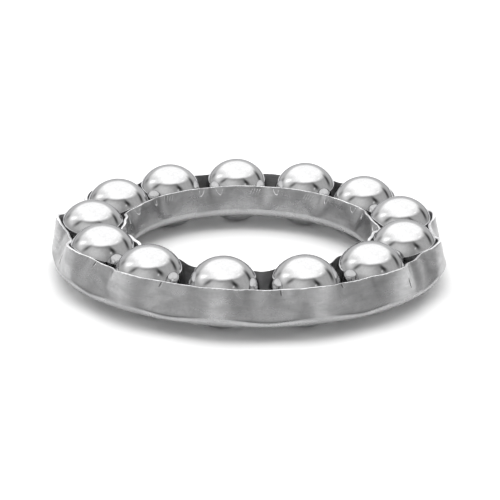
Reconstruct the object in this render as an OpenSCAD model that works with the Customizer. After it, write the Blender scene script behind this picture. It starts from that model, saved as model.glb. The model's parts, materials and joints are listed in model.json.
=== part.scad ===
// Thrust ball bearing: ball and cage set.
// A row of steel balls sits loosely in the round pockets of a stamped sheet-steel
// cage.  The cage is a ring-shaped channel, open at the top: a flat base with one
// round pocket per ball, a rounded bend on each side, and two upright walls.  Both
// walls are crimped into the channel between the balls, which stops the balls from
// lifting out, while the pockets are smaller than the balls, which stops them from
// dropping through.
//
// Origin: on the bearing axis, level with the lowest points of the balls.
// +Z: up along the bearing axis, towards the open side of the cage.
// The first ball stands on the -Y side and the others follow counter-clockwise
// as seen from above.  All dimensions are millimetres.

/* [Balls] */
// Ball diameter (13/32 inch)
ball_d = 10.319; // [10.2:0.001:10.4]
// Number of balls in the row
ball_count = 13; // [9:1:13]
// Diameter of the circle through the ball centres
pitch_d = 48.1; // [48:0.05:48.3]

/* [Cage channel] */
// Thickness of the cage sheet
sheet_t = 0.45; // [0.35:0.05:0.5]
// Largest outside diameter of the cage, at the top of the lower bend
cage_od = 60.5; // [60.4:0.1:61]
// Diameter of the straight hole through the cage
cage_bore = 36.4; // [36:0.1:36.4]
// Outside radius of the two lower bends
bend_r = 1.5; // [1.2:0.1:1.7]
// Depth of the underside of the base below the ball centres
base_drop = 3.05; // [2.9:0.05:3.3]
// Diameter of the round pocket under each ball
pocket_d = 9.7; // [9.5:0.05:9.8]

/* [Cage walls] */
// Height of the outer wall's rim above the ball centres, next to a ball
outer_rim_h = 2.6; // [2.4:0.1:3]
// Outside diameter of the outer wall at its rim, next to a ball
outer_rim_d = 58.9; // [58.8:0.1:59.4]
// Height of the inner wall's rim above the ball centres, next to a ball
inner_rim_h = 2.35; // [2.2:0.05:2.6]
// Hole-side diameter of the inner wall at its rim, next to a ball
inner_rim_d = 37.6; // [37.2:0.1:37.7]
// Height above the ball centres at which the inner wall starts to lean outwards
inner_lean_h = 0.6; // [0.4:0.1:1]

/* [Crimps between the balls] */
// Height of both rims above the ball centres, midway between two balls
crimp_rim_h = 1.97; // [1.8:0.01:2.2]
// Distance from the bearing axis to the outer wall's crimp, at its rim
crimp_out = 28.05; // [28:0.05:28.4]
// Radius of the outer crimp across the wall
crimp_out_r = 18; // [14:1:18]
// Distance from the bearing axis to the inner wall's crimp, at its rim
crimp_in = 19.85; // [19.4:0.05:20]
// Radius of the inner crimp across the wall
crimp_in_r = 3.2; // [2.6:0.1:3.6]
// Depth below the ball centres at which both crimps run out
crimp_drop = 1.2; // [1:0.1:1.3]
// Radius of the shallow dip in the rims between two balls
dip_r = 31; // [28:1:36]

/* [Hidden] */
$fn = 96;

ball_z = ball_d / 2;             // height of the ball centres above the origin
step_a = 360 / ball_count;       // angle from one ball to the next
bend_z = bend_r - base_drop;     // height of the bend centres, from the ball centres
bend_out = cage_od / 2 - bend_r; // radius of the outer bend's centre circle
bend_in = cage_bore / 2 + bend_r;

// The outer wall leaves the outer bend at a tangent and leans inwards to its rim.
rim_dx = outer_rim_d / 2 - bend_out;
rim_dz = outer_rim_h - bend_z;
lean_out = asin(bend_r / norm([rim_dx, rim_dz])) - atan2(rim_dx, rim_dz);
// The inner wall is straight, then leans outwards to its rim.
lean_in = atan2((inner_rim_d - cage_bore) / 2, inner_rim_h - inner_lean_h);

steel_dull = [0.66, 0.66, 0.67];
steel_polished = [0.86, 0.87, 0.88];

// Puts its children at angle a round the bearing axis; their -Y side faces outwards.
module around(a) { rotate([0, 0, a]) children(); }

// Cross-section of the channel filled up solid, from its centre line.  With an
// inset it is the hollow that the channel leaves, open towards the top.
module channel_section(inset, over) {
    r = bend_r - inset;
    to = [bend_out + r * cos(lean_out), bend_z + r * sin(lean_out)];
    len_out = (outer_rim_h + over - to[1]) / cos(lean_out);
    len_in = (inner_rim_h + over - inner_lean_h) / cos(lean_in);
    ki = inset / cos(lean_in);
    union() {
        polygon([
            [bend_in, bend_z - r],
            [bend_out, bend_z - r],
            [bend_out, bend_z],
            to,
            [to[0] - len_out * sin(lean_out), to[1] + len_out * cos(lean_out)],
            [cage_bore / 2 + ki + len_in * sin(lean_in), inner_lean_h + len_in * cos(lean_in)],
            [cage_bore / 2 + inset, inner_lean_h - (ki - inset) / tan(lean_in)],
            [cage_bore / 2 + inset, bend_z],
            [bend_in, bend_z]
        ]);
        translate([bend_out, bend_z]) circle(r);
        translate([bend_in, bend_z]) circle(r);
    }
}

// One crimping punch: a round bar whose side touches the line from foot to rim.
// side is +1 for a punch that stands outside the line and -1 for one inside it.
// Both points are [distance from the axis, height above the ball centres].
module punch(foot, rim, r, grow, side) {
    d = (rim - foot) / norm(rim - foot);
    c = (foot + rim) / 2 + side * r * [d[1], -d[0]];
    translate([0, -c[0], c[1]])
        rotate([atan2(d[0], d[1]), 0, 0])
            cylinder(h = 16, r = r + grow, center = true);
}

// The channel's outside (inset 0) or its hollow (inset = sheet thickness), with
// the crimps pressed in midway between the balls.
module formed(inset, over) {
    difference() {
        rotate_extrude() channel_section(inset, over);
        for (k = [0:ball_count - 1]) around((k + 0.5) * step_a) {
            punch([cage_od / 2, -crimp_drop], [crimp_out, crimp_rim_h], crimp_out_r, inset, 1);
            punch([cage_bore / 2, -crimp_drop], [crimp_in, crimp_rim_h], crimp_in_r, inset, -1);
        }
    }
}

// One round pocket through the base, under a ball.
module pocket() {
    translate([0, -pitch_d / 2, -base_drop - 1])
        cylinder(h = sheet_t + 2, d = pocket_d);
}

// The shallow dip in both rims, midway between two balls.
module rim_dip() {
    translate([0, -cage_bore / 2 + 2, crimp_rim_h + dip_r])
        rotate([90, 0, 0]) cylinder(h = 16, r = dip_r);
}

// The stamped cage: one piece of sheet with its pockets and crimps.
module cage() {
    color(steel_dull)
        translate([0, 0, ball_z])
            difference() {
                formed(0, 0);
                formed(sheet_t, 4);
                for (k = [0:ball_count - 1]) {
                    around(k * step_a) pocket();
                    around((k + 0.5) * step_a) rim_dip();
                }
            }
}

// One ball of the row, numbered from 1.
module ball(k) {
    if (k <= ball_count)
        color(steel_polished)
            around((k - 1) * step_a)
                translate([0, -pitch_d / 2, ball_z]) sphere(d = ball_d);
}

cage();
ball(1);  // ball_01
ball(2);  // ball_02
ball(3);  // ball_03
ball(4);  // ball_04
ball(5);  // ball_05
ball(6);  // ball_06
ball(7);  // ball_07
ball(8);  // ball_08
ball(9);  // ball_09
ball(10);  // ball_10
ball(11);  // ball_11
ball(12);  // ball_12
ball(13);  // ball_13
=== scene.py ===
import json
import math

import bmesh
import bpy
import numpy as np
from mathutils import Euler, Matrix, Vector


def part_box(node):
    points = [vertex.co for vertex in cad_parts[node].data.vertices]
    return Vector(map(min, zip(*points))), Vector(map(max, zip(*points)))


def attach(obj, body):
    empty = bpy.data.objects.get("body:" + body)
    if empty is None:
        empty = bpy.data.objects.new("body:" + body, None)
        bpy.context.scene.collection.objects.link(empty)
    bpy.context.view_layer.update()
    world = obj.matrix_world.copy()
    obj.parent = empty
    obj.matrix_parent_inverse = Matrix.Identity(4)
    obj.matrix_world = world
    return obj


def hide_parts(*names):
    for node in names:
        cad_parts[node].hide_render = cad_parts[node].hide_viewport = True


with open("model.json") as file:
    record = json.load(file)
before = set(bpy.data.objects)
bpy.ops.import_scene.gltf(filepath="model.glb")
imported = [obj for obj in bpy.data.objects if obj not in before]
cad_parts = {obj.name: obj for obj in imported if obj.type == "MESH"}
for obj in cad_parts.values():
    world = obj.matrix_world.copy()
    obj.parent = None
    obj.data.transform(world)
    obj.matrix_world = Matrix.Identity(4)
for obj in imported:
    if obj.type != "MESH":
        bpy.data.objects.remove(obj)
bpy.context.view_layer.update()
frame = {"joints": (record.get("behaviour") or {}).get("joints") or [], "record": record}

# ---------------------------------------------------------------- sizes, from the frame
joints = sorted(frame["joints"], key=lambda j: j["child"])
N = len(joints)                                        # balls in the row
pos0 = Vector(joints[0]["pos_m"])
MM = 0.001
RP = math.hypot(pos0.x, pos0.y) / MM                   # pitch radius, mm
ZC = pos0.z / MM                                       # height of the ball centres, mm
b_lo, b_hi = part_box("ball_01")
RB = (b_hi.z - b_lo.z) / 2 / MM                        # ball radius, mm
c_lo, c_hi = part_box("cage")
R_OUT = (c_hi.x - c_lo.x) / 2 / MM                     # largest cage radius, mm
BASE = c_lo.z / MM - ZC                                # underside of the base, from the ball centres
bore = next(m for m in frame["record"]["mounts"] if m["kind"] == "bore")
R_IN = bore["dims"]["r_mm"]                            # straight part of the hole
A0 = math.atan2(pos0.x, -pos0.y)                       # angle of the first ball
SHEET = 0.45                                           # sheet thickness, mm
STEP = 2 * math.pi / N

CAM_AZ = math.radians(8.357)                           # the camera stands this far round from the first ball

# ---------------------------------------------------------------- camera
scene = bpy.context.scene


def turned(v):
    """A point given with the camera side as -Y, turned to where the camera really stands."""
    c, s = math.cos(CAM_AZ + A0), math.sin(CAM_AZ + A0)
    return Vector((v[0] * c - v[1] * s, v[0] * s + v[1] * c, v[2]))


cam_data = bpy.data.cameras.new("camera")
cam = bpy.data.objects.new("camera", cam_data)
scene.collection.objects.link(cam)
scene.camera = cam
cam_data.sensor_fit = "HORIZONTAL"
cam_data.sensor_width = 36.0
cam_data.lens = 123.478
cam_data.clip_start, cam_data.clip_end = 0.01, 20
eye = turned((0.0052, -10.3165, 3.5758))
cam.location = Vector((eye.x * RP * MM, eye.y * RP * MM, (eye.z * RP + ZC) * MM))
ELEV, ROLL = math.radians(19.5480), math.radians(0.9959)
fwd = turned((0, math.cos(ELEV), -math.sin(ELEV)))
up0 = turned((0, math.sin(ELEV), math.cos(ELEV)))
right0 = turned((1, 0, 0))
right = right0 * math.cos(ROLL) + up0 * math.sin(ROLL)
up = up0 * math.cos(ROLL) - right0 * math.sin(ROLL)
cam.matrix_world = Matrix((
    (right.x, up.x, -fwd.x, cam.location.x),
    (right.y, up.y, -fwd.y, cam.location.y),
    (right.z, up.z, -fwd.z, cam.location.z),
    (0, 0, 0, 1),
))

scene.view_settings.view_transform = "Standard"
scene.view_settings.look = "None"
scene.view_settings.exposure = 0.0
scene.view_settings.gamma = 1.0


# ---------------------------------------------------------------- node helpers
class Tree:
    """Short forms for building a node tree."""

    def __init__(self, tree):
        self.t = tree
        self.n = tree.nodes
        self.n.clear()

    def node(self, kind, **props):
        n = self.n.new(kind)
        for k, v in props.items():
            setattr(n, k, v)
        return n

    def put(self, socket, value):
        if hasattr(value, "is_output"):
            self.t.links.new(value, socket)
        else:
            socket.default_value = value

    def math(self, op, a, b=None, c=None, clamp=False):
        n = self.node("ShaderNodeMath", operation=op, use_clamp=clamp)
        for i, v in enumerate((a, b, c)):
            if v is not None:
                self.put(n.inputs[i], v)
        return n.outputs[0]

    def mapr(self, v, a, b, c=0.0, d=1.0, mode="SMOOTHSTEP"):
        n = self.node("ShaderNodeMapRange", interpolation_type=mode)
        self.put(n.inputs["Value"], v)
        for k, x in zip(("From Min", "From Max", "To Min", "To Max"), (a, b, c, d)):
            self.put(n.inputs[k], x)
        return n.outputs["Result"]

    def mix(self, f, a, b):
        n = self.node("ShaderNodeMix", data_type="FLOAT")
        self.put(n.inputs[0], f)
        self.put(n.inputs[2], a)
        self.put(n.inputs[3], b)
        return n.outputs[0]

    def mixc(self, f, a, b, blend="MIX"):
        n = self.node("ShaderNodeMix", data_type="RGBA", blend_type=blend)
        self.put(n.inputs[0], f)
        self.put(n.inputs[6], a)
        self.put(n.inputs[7], b)
        return n.outputs[2]

    def noise(self, vec, scale, detail=2.0, rough=0.5, dist=0.0, out="Fac"):
        n = self.node("ShaderNodeTexNoise")
        self.put(n.inputs["Vector"], vec)
        n.inputs["Scale"].default_value = scale
        n.inputs["Detail"].default_value = detail
        n.inputs["Roughness"].default_value = rough
        n.inputs["Distortion"].default_value = dist
        return n.outputs[out]

    def ramp(self, f, stops):
        n = self.node("ShaderNodeValToRGB")
        e = n.color_ramp.elements
        while len(e) < len(stops):
            e.new(0.5)
        for el, (p, c) in zip(e, stops):
            el.position = p
            el.color = (c, c, c, 1) if isinstance(c, (int, float)) else (*c, 1)
        self.put(n.inputs[0], f)
        return n.outputs[0]

    def xyz(self, x, y, z):
        n = self.node("ShaderNodeCombineXYZ")
        for i, v in enumerate((x, y, z)):
            self.put(n.inputs[i], v)
        return n.outputs[0]


# ---------------------------------------------------------------- studio: a white tent, open towards the front
world = bpy.data.worlds.new("studio")
scene.world = world
world.use_nodes = True
W = Tree(world.node_tree)
d = W.node("ShaderNodeTexCoord").outputs["Generated"]
sep = W.node("ShaderNodeSeparateXYZ")
W.put(sep.inputs[0], d)
dx, dy, dz = sep.outputs
ca, sa = math.cos(CAM_AZ + A0), math.sin(CAM_AZ + A0)
# azimuth in degrees, 0 towards the camera side and positive to the right of the picture
side = W.math("ADD", W.math("MULTIPLY", dx, ca), W.math("MULTIPLY", dy, sa))
front = W.math("SUBTRACT", W.math("MULTIPLY", dx, sa), W.math("MULTIPLY", dy, ca))
az = W.math("MULTIPLY", W.math("ARCTAN2", side, front), 180 / math.pi)
el = W.math("MULTIPLY", W.math("ARCSINE", W.math("MINIMUM", W.math("MAXIMUM", dz, -1.0), 1.0)), 180 / math.pi)


def lobe(a0, wa):
    x = W.math("DIVIDE", W.math("SUBTRACT", az, a0), wa)
    return W.math("EXPONENT", W.math("MULTIPLY", W.math("MULTIPLY", x, x), -1.0))


def patch(az0, el0, tilt, half_l, half_w, power=2.0):
    """A soft slanted patch of the surroundings: tilt is the angle of its long side above the horizontal."""
    c, s = math.cos(math.radians(tilt)), math.sin(math.radians(tilt))
    x = W.math("SUBTRACT", az, az0)
    y = W.math("SUBTRACT", el, el0)
    u = W.math("ABSOLUTE", W.math("ADD", W.math("MULTIPLY", x, c / half_l), W.math("MULTIPLY", y, s / half_l)))
    v = W.math("ABSOLUTE", W.math("ADD", W.math("MULTIPLY", x, -s / half_w), W.math("MULTIPLY", y, c / half_w)))
    t = W.math("ADD", W.math("POWER", u, power), W.math("POWER", v, power))
    return W.math("EXPONENT", W.math("MULTIPLY", t, -1.0))


def plus(*terms):
    out = terms[0]
    for t in terms[1:]:
        out = W.math("ADD", out, t)
    return out


def times(a, b):
    return W.math("MULTIPLY", a, b)


# the roof is white; its front edge dips towards the back
edge = plus(times(W.math("COSINE", times(W.math("SUBTRACT", az, 12.0), math.pi / 180)), 16.5), 43.5,
            times(lobe(-50, 28), 3.5), times(lobe(-112, 22), -9.0), times(lobe(140, 25), -4.0))
soft = W.mapr(W.math("ABSOLUTE", az), 70.0, 150.0, 3.8, 7.0)
roof = W.mapr(W.math("DIVIDE", W.math("SUBTRACT", el, edge), soft), -1.0, 1.0)
back = W.mapr(W.math("ABSOLUTE", az), 118.0, 168.0)
rise = W.math("ADD", el, W.mapr(W.math("ABSOLUTE", az), 95.0, 160.0, 0.0, 32.0))
roof_white = W.mapr(rise, 44.0, 68.0, 1.18, 1.68)
high = W.mapr(el, 12.0, 30.0)                          # away from the floor
low = plus(0.53, times(back, 0.47), times(lobe(-40, 30), times(high, 0.27)), times(lobe(-10, 25), times(high, 0.19)),
           times(lobe(-100, 24), times(high, 0.52)), times(lobe(-124, 22), 0.10), times(lobe(30, 12), -0.10),
           times(lobe(82, 26), 0.06))
# a darker rim just under the edge of the roof, towards the camera
rim_x = W.math("DIVIDE", W.math("SUBTRACT", W.math("SUBTRACT", edge, el), 5.5), 4.0)
rim = times(W.math("EXPONENT", times(times(rim_x, rim_x), -1.0)), lobe(-14, 44))
under = times(W.mapr(el, 38.0, 54.0), lobe(-14, 50))
low = times(low, W.math("SUBTRACT", 1.0, plus(times(rim, 0.26), times(under, 0.14))))
value = W.mix(roof, low, roof_white)
for a0, e0, tilt, hl, hw, k, p in (
    (-66, 37, 52, 16, 6.3, 0.70, 2.2),
    (48, 39, -54, 16, 8.5, 0.90, 2.8),
    (121, 22, 40, 15, 8.0, 0.84, 2.8),
    (-127, 17, 56, 11, 5.5, 0.42, 2.0),
    (19, 8, 80, 16, 9.0, 0.24, 2.0),
    (62, 12, 70, 14, 8.0, 0.20, 2.0),
    (-48, 4, 90, 12, 9.0, 0.15, 2.0),
):
    value = times(value, W.math("SUBTRACT", 1.0, times(patch(a0, e0, tilt, hl, hw, p), k)))
value = plus(value, times(patch(-100, 37, 40, 12, 5.2), 1.0), times(patch(96, 50, -17, 9, 2.2), 0.45),
             times(patch(39, 33, 30, 4, 2.5), 0.5))
# the far edge of the table shows as a thin dark line behind the object
line = W.math("DIVIDE", W.math("SUBTRACT", el, 1.5), 2.6)
value = times(value, W.math("SUBTRACT", 1.0, times(times(W.math("EXPONENT", times(times(line, line), -1.0)), W.mapr(W.math("ABSOLUTE", az), 60.0, 110.0)), 0.6)))
bg = W.node("ShaderNodeBackground")
W.put(bg.inputs["Color"], (1, 1, 1, 1))
W.put(bg.inputs["Strength"], value)
wo = W.node("ShaderNodeOutputWorld")
W.put(wo.inputs["Surface"], bg.outputs[0])

# two soft lights for the white table only: one overhead, one low in front for the table inside the ring
over = bpy.data.lights.new("table_light", "AREA")
over.shape, over.size, over.energy = "DISK", 2.0, 5.0
over_o = bpy.data.objects.new("table_light", over)
over_o.location = (0, 0, 1.0)
box = bpy.data.lights.new("hole_light", "SPOT")
box.energy = 55.0
box.spot_size = 2 * math.atan(1.02 * R_IN * MM / 1.0)
box.spot_blend = 0.35
box.shadow_soft_size = 0.06
box_o = bpy.data.objects.new("hole_light", box)
aim = turned((0, -math.cos(math.radians(21)), math.sin(math.radians(21))))
box_o.location = aim
box_o.rotation_euler = aim.to_track_quat("Z", "Y").to_euler()
for o in (over_o, box_o):
    o.visible_glossy = False
    scene.collection.objects.link(o)

# ---------------------------------------------------------------- floor
fm = bpy.data.meshes.new("floor")
fb = bmesh.new()
bmesh.ops.create_circle(fb, cap_ends=True, segments=96, radius=3.0)
fb.to_mesh(fm)
fb.free()
floor = bpy.data.objects.new("floor", fm)
scene.collection.objects.link(floor)
floor_mat = bpy.data.materials.new("floor_white")
floor_mat.use_nodes = True
F = Tree(floor_mat.node_tree)
fp = F.node("ShaderNodeBsdfPrincipled")
fp.inputs["Base Color"].default_value = (0.93, 0.93, 0.93, 1)
fp.inputs["Roughness"].default_value = 0.75
fp.inputs["Specular IOR Level"].default_value = 0.2
F.put(F.node("ShaderNodeOutputMaterial").inputs["Surface"], fp.outputs[0])
fm.materials.append(floor_mat)


# ---------------------------------------------------------------- the stamped cage
def c_(u, k):
    return np.cos(2 * np.pi * k * u)


# All of these take u, the place along the row: 0 at a ball, 0.5 midway between two.
def uneven(w):
    """How far the outer rim stands off the regular shape in places, in mm: w is the place along the whole row."""
    out = 0 * w
    for at, height, width in ((9.88, 0.45, 0.13), (10.30, 0.34, 0.08), (2.42, 0.30, 0.12), (6.55, 0.20, 0.10),
                              (4.45, 0.12, 0.10), (7.52, -0.15, 0.14), (12.50, -0.12, 0.12), (0.50, 0.10, 0.10)):
        x = (w - at + N / 2) % N - N / 2
        out = out + height * np.exp(-(x / width) ** 2)
    return out


def rim_out_r(u):
    d0 = np.minimum(u % 1.0, 1 - u % 1.0)
    return RP * (1.1802 + 0.0355 * c_(u, 1) + 0.0110 * c_(u, 2) - 0.0012 * c_(u, 3)
                 + 0.0085 * np.exp(-((d0 - 0.19) / 0.07) ** 2)) + uneven(np.asarray(u))


def rim_out_z(u):
    return RP * (0.0918 + 0.0130 * c_(u, 1) + 0.0029 * c_(u, 2))


def rim_in_r(u):
    return RP * (0.7965 - 0.0195 * c_(u, 1) + 0.0062 * c_(u, 2) + 0.0018 * c_(u, 3))


def rim_in_z(u):
    return RP * (0.0925 + 0.0068 * c_(u, 1) - 0.0020 * c_(u, 2))


def crimp(u, p=1.0):
    """0 at a ball, 1 midway between two balls."""
    return (0.5 - 0.5 * c_(u, 1)) ** p


COLS = 13 * 48 if N == 13 else N * 48
PER = COLS // N
theta = np.arange(COLS) * (2 * np.pi / COLS)           # from the first ball
U = theta / STEP
NW, NF = 30, 22                                        # rows on a wall and on a bend


def bend_curve(u, a):
    """Point of the outer bend whose outside normal is a below the horizontal, and how the bend is shaped:
    a tight turn out of the wall, a broad band, then a tight turn into the base."""
    tight_top, tight_low = 0.7, 0.6
    band = 2.15 - 1.30 * crimp(u, 1.2)
    a1, a2, a3 = math.radians(18), math.radians(48), math.pi / 2
    r, z = 29.2 + 0 * u, BASE + 0 * u
    for lo, hi, rho in ((a2, a3, tight_low + 0 * u), (a1, a2, band), (-a3, a1, tight_top + 0 * u)):
        t = np.clip(a, lo, hi)
        r = r + rho * (np.cos(t) - np.cos(hi))
        z = z + rho * (np.sin(hi) - np.sin(t))
    return r, z


def outer_section(u):
    """Outside skin from the rim down the outer wall and round the bend to the base: rows of (r, z)."""
    rt, zt = rim_out_r(u), rim_out_z(u)
    beta = 0.2 + 0 * u
    for _ in range(30):
        r1, z1 = bend_curve(u, -beta)                  # where the bend meets the wall
        beta = np.arctan2(r1 - rt, zt - z1)
    rows = []
    for k in range(NW):
        s = (k / NW) ** 0.92
        rows.append((rt + (r1 - rt) * s, zt + (z1 - zt) * s))
    for k in range(NF + 1):
        rows.append(bend_curve(u, -beta + (beta + np.pi / 2) * (k / NF)))
    return rows


RF_IN = 1.5                                            # inner bend
RA = R_IN + 1.0                                        # where the base grid takes over from the inner bend


def inner_section(u):
    """Outside skin (the hole side) from the rim down the inner wall and round the bend: rows of (r, z)."""
    rt, zt = rim_in_r(u), rim_in_z(u)
    c = crimp(u, 1.0)
    z1 = BASE + RF_IN
    p = 6.0 - 4.4 * crimp(u, 0.8)
    cone = 0.12                                        # the wall leans a little all the way up
    rows = []
    for k in range(NW):
        z = zt + (z1 - zt) * (k / NW) ** 0.96
        g = np.clip((z - z1) / (zt - z1), 0, 1) ** p
        rows.append((R_IN + cone * (z - z1) + (rt - R_IN - cone * (zt - z1)) * g, z))
    a1 = math.acos((R_IN + RF_IN - RA) / RF_IN)        # from the wall to the base grid
    for k in range(NF + 1):
        a = a1 * k / NF
        rows.append((R_IN + RF_IN - RF_IN * math.cos(a) + 0 * u, z1 - RF_IN * math.sin(a) + 0 * u))
    return rows


def base_z(r):
    """Underside of the base, which rises a little where it runs into the inner bend."""
    x = np.clip(R_IN + RF_IN - r, 0, RF_IN)
    return BASE + RF_IN - np.sqrt(RF_IN ** 2 - x ** 2)


def to_xyz(r, th, z):
    a = th + A0
    return np.stack([r * np.sin(a), -r * np.cos(a), z + ZC + 0 * r], -1)


def grid_points(rows):
    r = np.array([x[0] + 0 * U for x in rows])
    z = np.array([x[1] + 0 * U for x in rows])
    return to_xyz(r, np.broadcast_to(theta, r.shape), z)


def grid_normals(P, sign):
    """Normals of a grid of rows that closes round the ring."""
    du = np.roll(P, -1, 1) - np.roll(P, 1, 1)
    dv = np.gradient(P, axis=0)
    n = np.cross(du, dv)
    n /= np.linalg.norm(n, axis=-1, keepdims=True) + 1e-12
    return n * sign


class Build:
    """Vertices and faces being collected, with three shades per vertex: painted light (0 plain, above 0 darker
    for painted shade, below 0 brighter for painted highlights and bright scratches), hollow (1 inside the channel) and
    bend (1 on the pressed bends)."""

    def __init__(self):
        self.v, self.f, self.soil, self.hollow, self.bend = [], [], [], [], []
        self.count = 0

    def add(self, P, soil=0.0, hollow=0.0, bend=0.0):
        P = np.asarray(P, float).reshape(-1, 3)
        i = self.count
        self.v.append(P)
        self.soil.append(np.broadcast_to(np.asarray(soil, float).reshape(-1) if np.ndim(soil) else float(soil), (len(P),)))
        self.hollow.append(np.full(len(P), float(hollow)))
        self.bend.append(np.broadcast_to(np.asarray(bend, float).reshape(-1) if np.ndim(bend) else float(bend), (len(P),)))
        self.count += len(P)
        return i

    def grid(self, P, flip=False, closed=True, soil=0.0, hollow=0.0, bend=0.0):
        R, C = P.shape[:2]
        i = self.add(P, soil, hollow, bend)
        for a in range(R - 1):
            for b in range(C if closed else C - 1):
                q = [i + a * C + b, i + a * C + (b + 1) % C, i + (a + 1) * C + (b + 1) % C, i + (a + 1) * C + b]
                self.f.append(q[::-1] if flip else q)


def rim_rows(A, nA):
    """Rows over the top edge from the outside skin's rim A to the hollow side, both corners slightly broken."""
    e = 0.07
    down = A["down"]                                   # unit vector down the wall at the rim
    out = nA
    P0 = A["P"]
    return [
        P0 + down * e,
        P0 + down * e * 0.3 - out * e * 0.3,
        P0 - out * e,
        P0 - out * (SHEET / 2),
        P0 - out * (SHEET - e),
        P0 - out * (SHEET - e * 0.3) + down * e * 0.3,
        P0 - out * SHEET + down * e,
    ]


B = Build()
for section, sign in ((outer_section, 1), (inner_section, -1)):
    P = grid_points(section(U))
    n = grid_normals(P, 1.0)
    # point the normals away from the hollow: outwards on the outer wall and inwards on the inner wall
    rad = P.copy(); rad[..., 2] = 0
    want = np.sign((n[2] * rad[2]).sum(-1).mean()) * sign
    n = n * want
    # pressed a little thinner where the balls come nearest to the inner wall
    thin = 0.05 * np.exp(-((P[..., 2:] - ZC - 0.8) / 0.9) ** 2) if sign < 0 else 0.0
    inside = P - n * (SHEET - thin)
    down = P[1] - P[0]
    down /= np.linalg.norm(down, axis=-1, keepdims=True)
    rim = np.array(rim_rows({"P": P[0], "down": down}, n[0]))
    skin_out = np.concatenate([rim[:1], P[1:]])
    skin_in = np.concatenate([rim[-1:], inside[1:]])
    flip = sign < 0
    # painted shade: a faint dark line where the wall turns into the bend, stronger midway between the balls on the
    # outer wall
    rows = len(skin_out)
    fall = (np.arange(rows) - (NW + (2.5 if sign > 0 else 0.5))) / 2.8
    soil = np.exp(-fall[:, None] ** 2) * ((0.45 + 0.55 * crimp(U)) if sign > 0 else (0.30 + 0 * U))[None, :]
    bend = np.clip((np.arange(rows)[:, None] - NW - (4.0 if sign > 0 else 0.0)) / 3.0, 0, 1) + 0 * U[None, :]
    B.grid(skin_out, flip=not flip, soil=soil, bend=bend)
    B.grid(rim, flip=flip, soil=-1.9)                  # painted highlight: the top edge is made brighter than the sheet
    B.grid(skin_in, flip=flip, hollow=1.0)
    if sign > 0:
        end_out, end_in_out = P[-1], inside[-1]
        outer_P, outer_n = P, n
    else:
        end_inner, end_in_inner = P[-1], inside[-1]
        inner_P, inner_n = P, n

# The base: each sector is a four-sided patch with the ball's round pocket in it.
RPK = 4.62                                             # pocket radius
RBO = np.hypot(end_out[:, 0], end_out[:, 1])           # where the base meets the outer bend, per column
RBI = np.hypot(end_in_out[:, 0], end_in_out[:, 1])


def base_patch(level):
    """Points of one sector's patch, layers x loop, for the underside (0) or the top (1) of the sheet."""
    half = PER // 2
    cols = np.arange(-half, half + 1)
    th = cols * (2 * np.pi / COLS)
    ro = (RBO if level == 0 else RBI)[cols % COLS]
    ns = 12
    r_in = RA
    loop = []
    for k, t in enumerate(th):
        loop.append((r_in, t))
    for k in range(1, ns):
        loop.append((r_in + (ro[-1] - r_in) * k / ns, th[-1]))
    for k in range(len(th) - 1, -1, -1):
        loop.append((ro[k], th[k]))
    for k in range(ns - 1, 0, -1):
        loop.append((r_in + (ro[0] - r_in) * k / ns, th[0]))
    loop = np.array(loop)
    xy = np.stack([loop[:, 0] * np.sin(loop[:, 1]), loop[:, 0] * np.cos(loop[:, 1])], -1)
    c = np.array([0, RP])
    dirn = xy - c
    dirn /= np.linalg.norm(dirn, axis=1, keepdims=True)
    hole = c + dirn * RPK
    layers = []
    L = 8
    for k in range(L + 1):
        w = (k / L) ** 1.25
        layers.append(hole + (xy - hole) * w)
    return np.array(layers)


def base_surface(xy, level):
    r = np.hypot(xy[..., 0], xy[..., 1])
    th = np.arctan2(xy[..., 0], xy[..., 1])
    z = base_z(r)
    if level:
        x = np.clip(R_IN + RF_IN - r, 0, None)
        ri = RF_IN - SHEET
        z = BASE + RF_IN - np.sqrt(np.maximum(ri ** 2 - x ** 2, 0.0))
    return r, th, z


lower, upper = base_patch(0), base_patch(1)
# the inner bend's ends: the hollow side of the bend ends at its own radius
ri_end = np.hypot(end_in_inner[:, 0], end_in_inner[:, 1]).mean()
for k in range(N):
    rings = []
    for level, patch in ((0, lower), (1, upper)):
        xy = patch.copy()
        if level:
            # move the patch's inner edge to where the hollow side of the inner bend ends
            r = np.hypot(xy[..., 0], xy[..., 1]); t = np.arctan2(xy[..., 0], xy[..., 1])
            w = np.clip((R_IN + 1.6 - r) / (R_IN + 1.6 - RA), 0, 1)
            r = r + (ri_end - RA) * w ** 2
            xy = np.stack([r * np.sin(t), r * np.cos(t)], -1)
        r, th, z = base_surface(xy, level)
        P = to_xyz(r, th + k * STEP, z)
        B.grid(P, flip=(level == 0), hollow=float(level))
        rings.append(P[0])
    # the wall of the pocket
    lo_ring, hi_ring = rings
    e = 0.06
    cen = to_xyz(np.array(RP), np.array(k * STEP), np.array(0.0))
    outw = lo_ring - cen; outw[:, 2] = 0
    outw /= np.linalg.norm(outw, axis=1, keepdims=True)
    wall = np.array([lo_ring, lo_ring + (hi_ring - lo_ring) * 0.5, hi_ring])
    B.grid(wall, flip=True)

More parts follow.
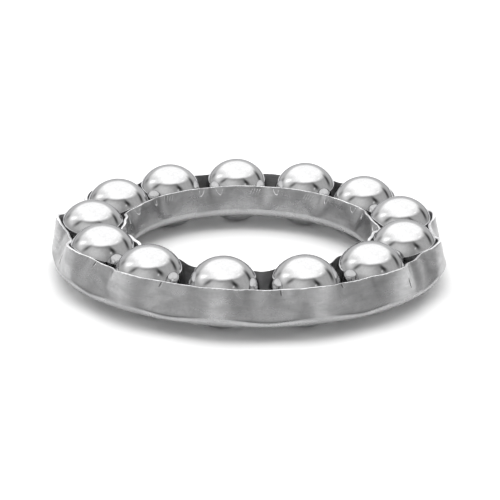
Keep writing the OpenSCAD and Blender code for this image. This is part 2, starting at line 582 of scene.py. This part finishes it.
verts = np.concatenate(B.v) * MM
mesh = bpy.data.meshes.new("cage_sheet")
mesh.from_pydata([tuple(p) for p in verts], [], B.f)
bm = bmesh.new()
bm.from_mesh(mesh)
l_soil = bm.verts.layers.float.new("soil")
l_hollow = bm.verts.layers.float.new("hollow")
l_bend = bm.verts.layers.float.new("bend")
for v, a, b, c in zip(bm.verts, np.concatenate(B.soil), np.concatenate(B.hollow), np.concatenate(B.bend)):
    v[l_soil], v[l_hollow], v[l_bend] = a, b, c
bmesh.ops.remove_doubles(bm, verts=bm.verts, dist=0.00003)
bmesh.ops.recalc_face_normals(bm, faces=bm.faces)
open_edges = sum(1 for e in bm.edges if len(e.link_faces) != 2)
print("cage: verts", len(bm.verts), "faces", len(bm.faces), "edges not shared by two faces", open_edges,
      "volume mm3", bm.calc_volume() * 1e9)
for f in bm.faces:
    f.smooth = True
for e in bm.edges:
    if len(e.link_faces) == 2 and e.calc_face_angle(0.0) > math.radians(50):
        e.smooth = False
bm.to_mesh(mesh)
bm.free()
cage = bpy.data.objects.new("stamped_cage", mesh)
scene.collection.objects.link(cage)

# ---------------------------------------------------------------- small burrs that the crimping tool left on the walls
rng = np.random.default_rng(7)


def on_wall(P, n, u, z):
    """Point and outside normal on a wall, at place u along the row and height z from the ball centres."""
    c = (u * PER) % COLS
    c0 = int(c) % COLS
    f = c - int(c)
    col = P[:, c0] * (1 - f) + P[:, (c0 + 1) % COLS] * f
    nrm = n[:, c0] * (1 - f) + n[:, (c0 + 1) % COLS] * f
    h = col[:, 2] - ZC
    k = int(np.clip(np.searchsorted(-h, -z) - 1, 0, len(h) - 2))
    g = np.clip((h[k] - z) / max(h[k] - h[k + 1], 1e-6), 0, 1)
    v = nrm[k] * (1 - g) + nrm[k + 1] * g
    return col[k] * (1 - g) + col[k + 1] * g, v / np.linalg.norm(v)


def burr(b, P, n, uz, rad, soil=-0.6):
    """A thin raised line along points (u, z) of a wall, tapered to nothing at both ends."""
    pts = [on_wall(P, n, u, z) for u, z in uz]
    p = np.array([q[0] for q in pts]); nn = np.array([q[1] for q in pts])
    tan = np.gradient(p, axis=0)
    tan /= np.linalg.norm(tan, axis=1, keepdims=True)
    side = np.cross(tan, nn)
    ring = []
    m = len(p)
    for k in range(m):
        w = rad * (math.sin(math.pi * (k + 0.35) / (m - 0.3))) ** 0.35
        ring.append([p[k] - nn[k] * rad * 0.35 + (side[k] * math.cos(a) + nn[k] * math.sin(a)) * w
                     for a in np.linspace(0, 2 * math.pi, 8, endpoint=False)])
    ring = np.array(ring)
    i = b.add(ring, soil)
    for k in range(m - 1):
        for a in range(8):
            b.f.append([i + k * 8 + a, i + k * 8 + (a + 1) % 8, i + (k + 1) * 8 + (a + 1) % 8, i + (k + 1) * 8 + a])
    b.f.append([i + a for a in range(8)][::-1])
    b.f.append([i + (m - 1) * 8 + a for a in range(8)])


def hook(b, P, n, u, z, w, h, lean, rad):
    t = np.linspace(-1.0, 1.0, 15)
    x = w * t + lean * (1 - t ** 2) * h
    y = -h * np.sqrt(np.clip(1 - t ** 2 * 0.96, 0, 1)) + h * 0.2
    burr(b, P, n, [(u + xx / (RP * 0.79 * STEP), z + yy) for xx, yy in zip(x, y)], rad)


def stroke(b, P, n, u, z, dx, dy, rad, soil=-0.6):
    t = np.linspace(0, 1, 9)
    burr(b, P, n, [(u + dx * k / (RP * 0.79 * STEP), z + dy * k) for k in t], rad, soil)


M = Build()
for k in range(N):
    for place in (0.31, 0.67):
        u = k + place + rng.uniform(-0.05, 0.05)
        if rng.random() < 0.82:
            z = rim_in_z(np.array(u)) - rng.uniform(0.25, 0.40)
            hook(M, inner_P, inner_n, u, float(z), rng.uniform(0.42, 0.58), rng.uniform(0.9, 1.2), rng.uniform(-0.3, 0.3), 0.13)
        else:
            for q in range(4):
                z = rim_in_z(np.array(u)) - rng.uniform(0.3, 0.5)
                stroke(M, inner_P, inner_n, u + 0.045 * q, float(z), 0.40, -rng.uniform(0.7, 1.0), 0.08)
# nicks just under the outer rim, and two sharp creases where the sheet was folded most (place along the row,
# depth under the rim, length, lean), all in mm
for u, under, length, lean in ((11.43, 0.12, 0.75, -0.25), (12.37, 0.10, 0.70, -0.15), (0.63, 0.12, 0.75, 0.05),
                               (1.29, 0.10, 0.60, 0.15), (10.80, 1.90, 1.60, -0.20), (2.13, 1.70, 1.50, 0.20),
                               (3.36, 0.12, 0.70, 0.20), (4.62, 0.10, 0.65, -0.20), (6.38, 0.12, 0.75, 0.10),
                               (7.64, 0.12, 0.60, -0.10), (8.35, 1.80, 1.40, 0.15), (9.61, 0.10, 0.70, 0.20)):
    z = float(rim_out_z(np.array(u))) - under
    # each nick and crease is painted as a dark line (painted shade) with a thinner bright line just below it (painted
    # highlight)
    stroke(M, outer_P, outer_n, u, z, lean, -length, 0.10, 1.35)
    stroke(M, outer_P, outer_n, u + 0.018, z - 0.05, lean, -length, 0.06, -0.8)
me = bpy.data.meshes.new("tool_marks")
me.from_pydata([tuple(p * MM) for p in np.concatenate(M.v)], [], M.f)
bm = bmesh.new()
bm.from_mesh(me)
l_soil = bm.verts.layers.float.new("soil")
for v, a in zip(bm.verts, np.concatenate(M.soil)):
    v[l_soil] = a
bmesh.ops.recalc_face_normals(bm, faces=bm.faces)
for f in bm.faces:
    f.smooth = True
bm.to_mesh(me)
bm.free()
marks = bpy.data.objects.new("tool_marks", me)
scene.collection.objects.link(marks)

# ---------------------------------------------------------------- materials
steel = bpy.data.materials.new("pressed_sheet_steel")
steel.use_nodes = True
S = Tree(steel.node_tree)
obj = S.node("ShaderNodeTexCoord").outputs["Object"]
sx = S.node("ShaderNodeSeparateXYZ")
S.put(sx.inputs[0], obj)
ang = S.math("ARCTAN2", sx.outputs[0], sx.outputs[1])
rad = S.math("SQRT", S.math("ADD", S.math("MULTIPLY", sx.outputs[0], sx.outputs[0]), S.math("MULTIPLY", sx.outputs[1], sx.outputs[1])))
px, py, pz = sx.outputs
flat = S.xyz(px, py, S.math("MULTIPLY", pz, 2.4))      # marks lie along the ring, flatter than they are long
drawn = S.xyz(px, py, S.math("MULTIPLY", pz, 9.0))     # fine lines along the ring from rolling
upright = S.xyz(px, py, S.math("MULTIPLY", pz, 0.25))  # draw marks run up the walls
lines = S.noise(drawn, 900.0, 2.0, 0.6)
draws = S.noise(upright, 1500.0, 2.0, 0.6)
blotch = S.noise(flat, 240.0, 4.0, 0.6, 0.8)
broad = S.noise(flat, 95.0, 3.0, 0.55, 0.5)
specks = S.noise(obj, 2600.0, 2.0, 0.6)
# per-vertex painted light value: painted shade (crease line, nicks) above 0, painted highlights (top edge, nick edges)
# and bright scratches below 0
soil = S.node("ShaderNodeAttribute", attribute_name="soil").outputs["Fac"]
hollow = S.node("ShaderNodeAttribute", attribute_name="hollow").outputs["Fac"]
p = S.node("ShaderNodeBsdfPrincipled")
tone = S.math("ADD", S.math("MULTIPLY", blotch, 0.55), S.math("MULTIPLY", broad, 0.45))
tone = S.mapr(tone, 0.36, 0.62, 0.37, 0.51)
bend = S.node("ShaderNodeAttribute", attribute_name="bend").outputs["Fac"]
tone = S.mix(S.math("MULTIPLY", bend, 0.75), tone, 0.47)
tone = S.math("MULTIPLY", tone, S.mapr(lines, 0.25, 0.75, 0.95, 1.05, "LINEAR"))
tone = S.math("MULTIPLY", tone, S.mapr(draws, 0.25, 0.75, 0.95, 1.05, "LINEAR"))
tone = S.math("MULTIPLY", tone, S.mapr(specks, 0.60, 0.72, 1.0, 0.86))
# painted shade darkens and painted highlights brighten the sheet here, by the per-vertex painted light value
tone = S.math("MULTIPLY", tone, S.math("SUBTRACT", 1.0, S.math("MULTIPLY", S.math("MULTIPLY", soil, S.mapr(broad, 0.3, 0.6, 0.7, 1.0)), 0.55)))
# painted shade: the hollow side of the sheet, inside the channel, is made 5% darker
tone = S.math("MULTIPLY", tone, S.math("SUBTRACT", 1.0, S.math("MULTIPLY", hollow, 0.05)))
S.put(p.inputs["Base Color"], S.xyz(tone, tone, S.math("MULTIPLY", tone, 1.01)))
# inside the channel the sheet keeps its dull, greasy skin
S.put(p.inputs["Metallic"], S.math("SUBTRACT", 1.0, S.math("MULTIPLY", hollow, 0.5)))
rough = S.mapr(S.math("ADD", S.math("MULTIPLY", broad, 0.5), S.math("MULTIPLY", blotch, 0.5)), 0.35, 0.65, 0.36, 0.24, "LINEAR")
S.put(p.inputs["Roughness"], S.math("ADD", rough, S.math("MULTIPLY", hollow, 0.12)))
bmp = S.node("ShaderNodeBump")
bmp.inputs["Strength"].default_value = 0.15
bmp.inputs["Distance"].default_value = 0.00010
S.put(bmp.inputs["Height"], S.math("ADD", S.math("MULTIPLY", draws, 0.2), S.math("ADD", S.math("MULTIPLY", blotch, 0.6), S.math("MULTIPLY", lines, 0.2))))
S.put(p.inputs["Normal"], bmp.outputs[0])
S.put(S.node("ShaderNodeOutputMaterial").inputs["Surface"], p.outputs[0])
mesh.materials.append(steel)
me.materials.append(steel)
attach(cage, "cage")
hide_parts("cage")
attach(marks, "cage")

ball_mat = bpy.data.materials.new("polished_bearing_steel")
ball_mat.use_nodes = True
K = Tree(ball_mat.node_tree)
bo = K.node("ShaderNodeTexCoord").outputs["Object"]
bp = K.node("ShaderNodeBsdfPrincipled")
bp.inputs["Metallic"].default_value = 1.0
haze = K.noise(bo, 420.0, 4.0, 0.65)
fine = K.noise(bo, 2400.0, 3.0, 0.7)
shade = K.math("ADD", K.math("MULTIPLY", haze, 0.5), K.math("MULTIPLY", fine, 0.5))
shade = K.mapr(shade, 0.38, 0.62, 0.565, 0.645, "LINEAR")
K.put(bp.inputs["Base Color"], K.xyz(shade, shade, K.math("MULTIPLY", shade, 1.005)))
K.put(bp.inputs["Roughness"], K.mapr(haze, 0.35, 0.7, 0.018, 0.050, "LINEAR"))
bp.inputs["Specular Tint"].default_value = (0.62, 0.62, 0.63, 1)
K.put(K.node("ShaderNodeOutputMaterial").inputs["Surface"], bp.outputs[0])


def ball_mesh(radius, turn, seg=36):
    """A ball from a cube whose faces are cut into a fine grid and pushed out to the sphere, so it has no poles."""
    bm2 = bmesh.new()
    t = np.tan(np.linspace(-math.pi / 4, math.pi / 4, seg + 1))
    for axis in range(3):
        for s in (-1, 1):
            vs = {}
            for i, a in enumerate(t):
                for j, b in enumerate(t):
                    q = [0.0, 0.0, 0.0]
                    q[axis], q[(axis + 1) % 3], q[(axis + 2) % 3] = s, a, b
                    v = Vector(q).normalized() * radius
                    vs[i, j] = bm2.verts.new(v)
            for i in range(seg):
                for j in range(seg):
                    f = [vs[i, j], vs[i + 1, j], vs[i + 1, j + 1], vs[i, j + 1]]
                    bm2.faces.new(f if s > 0 else f[::-1])
    bmesh.ops.remove_doubles(bm2, verts=bm2.verts, dist=radius * 1e-5)
    bmesh.ops.transform(bm2, matrix=turn, verts=bm2.verts)
    for f in bm2.faces:
        f.smooth = True
    me = bpy.data.meshes.new("ball")
    bm2.to_mesh(me)
    bm2.free()
    return me


for k, j in enumerate(joints):
    me = ball_mesh(RB * MM, Euler((0.7 * k, 1.1 * k, 0.4 * k)).to_matrix().to_4x4())
    me.materials.append(ball_mat)
    o = bpy.data.objects.new("polished_" + j["child"], me)
    o.location = Vector(j["pos_m"])
    scene.collection.objects.link(o)
    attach(o, j["child"])
    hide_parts(j["child"])
